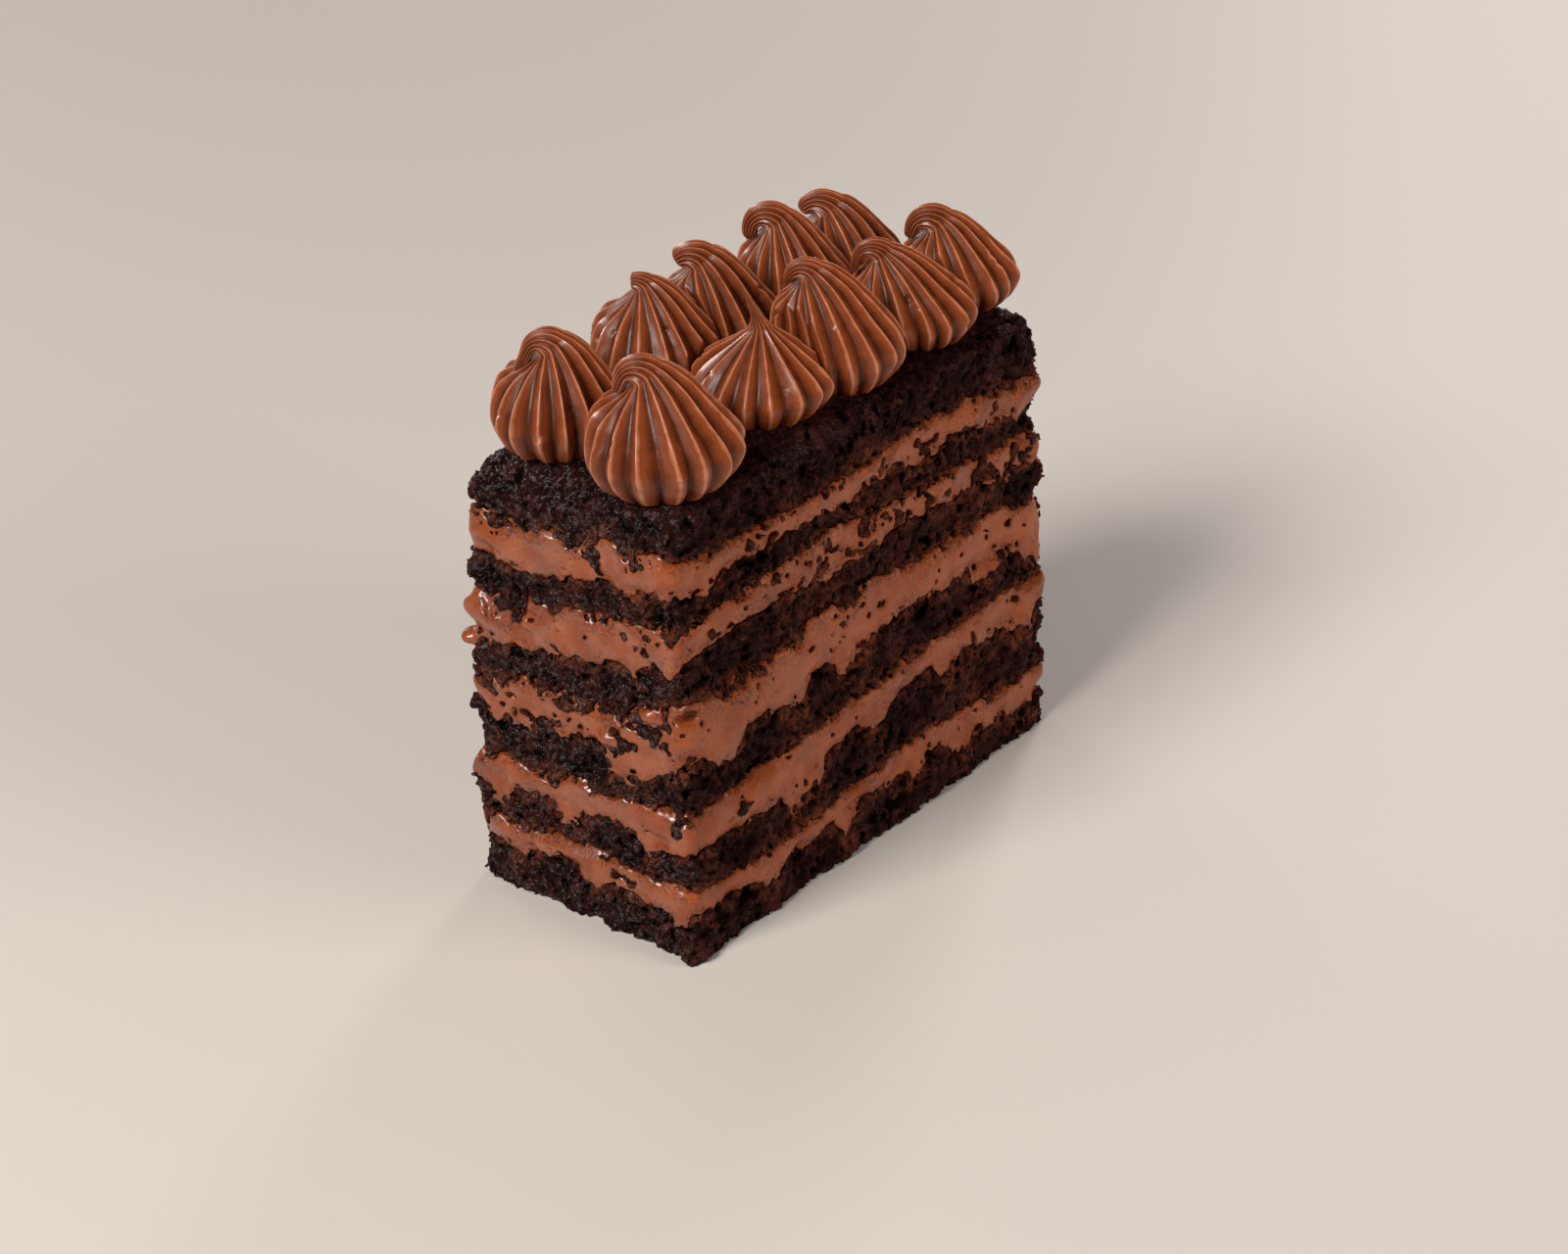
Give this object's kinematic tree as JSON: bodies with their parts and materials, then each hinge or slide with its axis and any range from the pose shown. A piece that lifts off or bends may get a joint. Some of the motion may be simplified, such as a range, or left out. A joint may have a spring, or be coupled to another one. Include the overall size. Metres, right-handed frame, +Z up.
{
  "type": "chocolate layer cake slice",
  "caption": "Upright rectangular slice of dark layer cake: moist sponges, bands of milk-brown cream and two rows of ridged piped kisses on top.",
  "frame": {"origin": "middle of the slice's footprint, on the surface that it stands on", "axes": "+X along the slice, away from its near end; +Y across it, away from its front cut face; +Z up"},
  "size_m": [0.0998, 0.0476, 0.098],
  "materials": {
    "sponge": "dark moist chocolate crumb, open and torn where it was cut",
    "cream": "smooth milk-brown chocolate cream, cut and smeared with crumbs",
    "piped_cream": "smooth glossy milk-brown chocolate cream, piped"
  },
  "bodies": {
    "root": {"sponge_1": "sponge", "cream_1": "cream", "sponge_2": "sponge", "cream_2": "cream", "sponge_3": "sponge", "cream_3": "cream", "sponge_4": "sponge", "cream_4": "cream", "sponge_5": "sponge", "cream_5": "cream", "sponge_6": "sponge", "kiss_front_1": "piped_cream", "kiss_front_2": "piped_cream", "kiss_front_3": "piped_cream", "kiss_front_4": "piped_cream", "kiss_front_5": "piped_cream", "kiss_rear_1": "piped_cream", "kiss_rear_2": "piped_cream", "kiss_rear_3": "piped_cream", "kiss_rear_4": "piped_cream", "kiss_rear_5": "piped_cream"}
  },
  "joints": []
}
